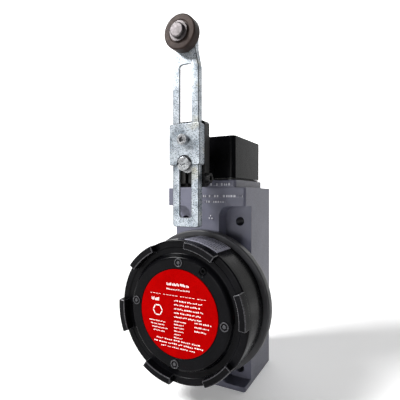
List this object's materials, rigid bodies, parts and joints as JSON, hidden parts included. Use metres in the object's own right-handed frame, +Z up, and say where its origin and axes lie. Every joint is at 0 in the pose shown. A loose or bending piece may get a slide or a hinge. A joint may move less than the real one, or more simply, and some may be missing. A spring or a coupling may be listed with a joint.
{
  "type": "limit switch",
  "caption": "Explosion-proof limit switch with a round screw-on cover, a side-rotary head and an adjustable-length roller lever.",
  "frame": {"origin": "centre of the box round the whole switch, at the flat bottom of its housing", "axes": "+Z up along the housing and the lever, +Y from the front cover to the mounting face, +X to the right seen from the front"},
  "size_m": [0.0852, 0.0804, 0.2108],
  "materials": {
    "housing_paint": "satin dark blue-grey cast housing, lightly textured",
    "black_paint": "semi-gloss black paint over a casting",
    "red_label": "red printed label with plain white bars",
    "nameplate": "dull grey metal plate",
    "zinc": "zinc-plated sheet steel, bright and mottled",
    "hub_black": "blackened steel",
    "steel": "turned steel",
    "roller_steel": "dark sintered steel roller",
    "rubber": "matt black rubber",
    "bronze": "sintered bronze bearing",
    "brass": "plated brass terminal",
    "phenolic": "dark moulded phenolic",
    "green_screw": "green ground screw"
  },
  "bodies": {
    "housing_body": {"housing": "housing_paint", "head": "black_paint", "head_gasket": "rubber", "shaft_seal": "rubber", "front_bearing": "bronze", "rear_bearing": "bronze", "plunger_guide": "bronze", "plunger_seat": "bronze", "plunger_spring": "steel", "switch_block": "phenolic", "mounting_plate": "zinc", "block_screw_1": "steel", "block_screw_2": "steel", "ground_screw": "green_screw", "head_screw_1": "steel", "terminal_1": "brass", "terminal_screw_1": "brass", "head_screw_2": "steel", "terminal_2": "brass", "terminal_screw_2": "brass", "head_screw_3": "steel", "terminal_3": "brass", "terminal_screw_3": "brass", "head_screw_4": "steel", "terminal_4": "brass", "terminal_screw_4": "brass"},
    "cover_seal_body": {"cover_o_ring": "rubber"},
    "cover_body": {"cover": "black_paint", "cover_label": "red_label", "side_nameplate": "nameplate", "cover_lock_screw": "hub_black"},
    "lever_body": {"shaft": "steel", "cam": "steel", "cam_pin": "steel", "lever_hub": "hub_black", "pinch_screw": "hub_black", "clamp_bracket": "zinc", "clamp_screw": "steel"},
    "arm_body": {"lever_arm": "zinc", "roller_pin": "steel", "roller_washer": "steel"},
    "roller_body": {"roller": "roller_steel"},
    "plunger_body": {"plunger": "steel"},
    "button_body": {"switch_button": "brass"}
  },
  "joints": [
    {"name": "lever_swing", "type": "hinge", "parent": "housing_body", "child": "lever_body", "pos_m": [0, 0.01, 0.1313], "axis": [0, 1, 0], "range_deg": [-75, 75], "stiffness_Nm_per_rad": 0.35},
    {"name": "arm_slide", "type": "slide", "parent": "lever_body", "child": "arm_body", "axis": [0, 0, 1], "range_m": [-0.004, 0.0189]},
    {"name": "roller_spin", "type": "hinge", "parent": "arm_body", "child": "roller_body", "pos_m": [0, -0.034, 0.2013], "axis": [0, 1, 0], "continuous": true},
    {"name": "plunger_travel", "type": "slide", "parent": "housing_body", "child": "plunger_body", "axis": [0, 0, -1], "range_m": [0, 0.0024], "stiffness_N_per_m": 800, "deforming": ["plunger_spring"]},
    {"name": "button_travel", "type": "slide", "parent": "housing_body", "child": "button_body", "axis": [0, 0, -1], "range_m": [0, 0.0024]},
    {"name": "cover_advance", "type": "slide", "parent": "housing_body", "child": "cover_seal_body", "axis": [0, -1, 0], "range_m": [0, 0.01405]},
    {"name": "cover_unscrew", "type": "hinge", "parent": "cover_seal_body", "child": "cover_body", "pos_m": [0, -0.0226, 0.0509], "axis": [0, -1, 0], "range_deg": [0, 2520]}
  ],
  "couplings": [
    {"joint": "cover_advance", "follows": "cover_unscrew", "m_per_rad": 0.00031831},
    {"joint": "button_travel", "follows": "plunger_travel", "ratio": 1}
  ]
}
